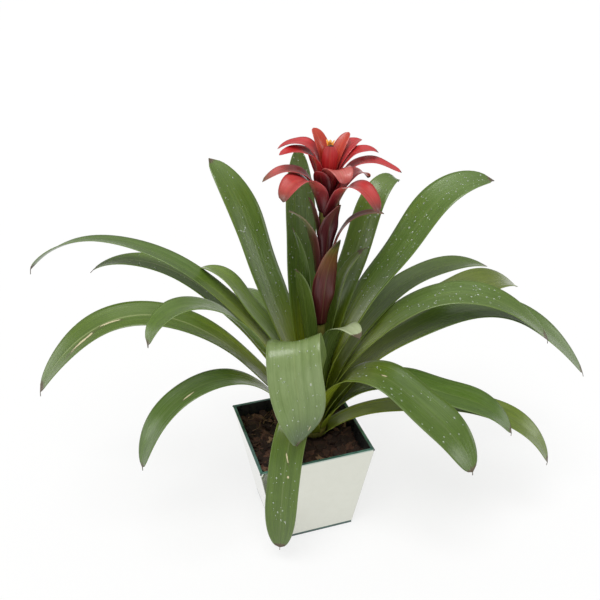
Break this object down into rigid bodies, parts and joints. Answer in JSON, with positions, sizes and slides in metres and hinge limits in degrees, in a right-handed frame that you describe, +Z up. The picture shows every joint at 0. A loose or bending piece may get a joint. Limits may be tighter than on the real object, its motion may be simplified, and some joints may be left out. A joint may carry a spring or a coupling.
{
  "type": "potted bromeliad",
  "caption": "Bromeliad with arching strap leaves and a red bract head, growing in bark in a square tapered pot of mirrored glass.",
  "frame": {"origin": "centre of the base plate's underside, on the surface the pot stands on", "axes": "+Z up along the pot's axis; -Y out of the pot's front glass panel; +X out of its right panel, seen from the front"},
  "size_m": [0.5995, 0.3566, 0.4589],
  "materials": {
    "bark": "rough broken bark chips",
    "base_glass": "polished dark green edge",
    "bract_red": "satin leathery bract",
    "bract_maroon": "satin leathery bract",
    "flower": "soft petal",
    "leaf": "glossy leathery leaf, finely lined along its length",
    "mirrored_glass": "silvered behind clear glass, polished green edges",
    "stem": "waxy plant stem"
  },
  "bodies": {
    "root": {"bark_chips": "bark", "base_plate": "base_glass", "bract_head_1": "bract_red", "bract_head_10": "bract_red", "bract_head_11": "bract_red", "bract_head_12": "bract_red", "bract_head_13": "bract_red", "bract_head_14": "bract_red", "bract_head_15": "bract_red", "bract_head_2": "bract_red", "bract_head_3": "bract_red", "bract_head_4": "bract_red", "bract_head_5": "bract_red", "bract_head_6": "bract_red", "bract_head_7": "bract_red", "bract_head_8": "bract_red", "bract_head_9": "bract_red", "bract_stalk_1": "bract_maroon", "bract_stalk_2": "bract_maroon", "bract_stalk_3": "bract_maroon", "bract_stalk_4": "bract_maroon", "bract_stalk_5": "bract_maroon", "bract_stalk_6": "bract_maroon", "flower_bud": "flower", "leaf_back_left": "leaf", "leaf_back_low": "leaf", "leaf_back_right": "leaf", "leaf_back_upright": "leaf", "leaf_front_folded": "leaf", "leaf_front_hanging": "leaf", "leaf_front_short": "leaf", "leaf_inner_left": "leaf", "leaf_inner_right": "leaf", "leaf_inner_small": "leaf", "leaf_left_curled": "leaf", "leaf_left_long": "leaf", "leaf_left_low": "leaf", "leaf_left_second": "leaf", "leaf_left_short": "leaf", "leaf_left_tall": "leaf", "leaf_left_third": "leaf", "leaf_right_arched": "leaf", "leaf_right_broad": "leaf", "leaf_right_long": "leaf", "leaf_right_low": "leaf", "leaf_right_olive": "leaf", "leaf_right_second": "leaf", "leaf_right_tall": "leaf", "leaf_right_upper": "leaf", "leaf_right_upright": "leaf", "panel_back": "mirrored_glass", "panel_front": "mirrored_glass", "panel_left": "mirrored_glass", "panel_right": "mirrored_glass", "stem": "stem"}
  },
  "joints": []
}
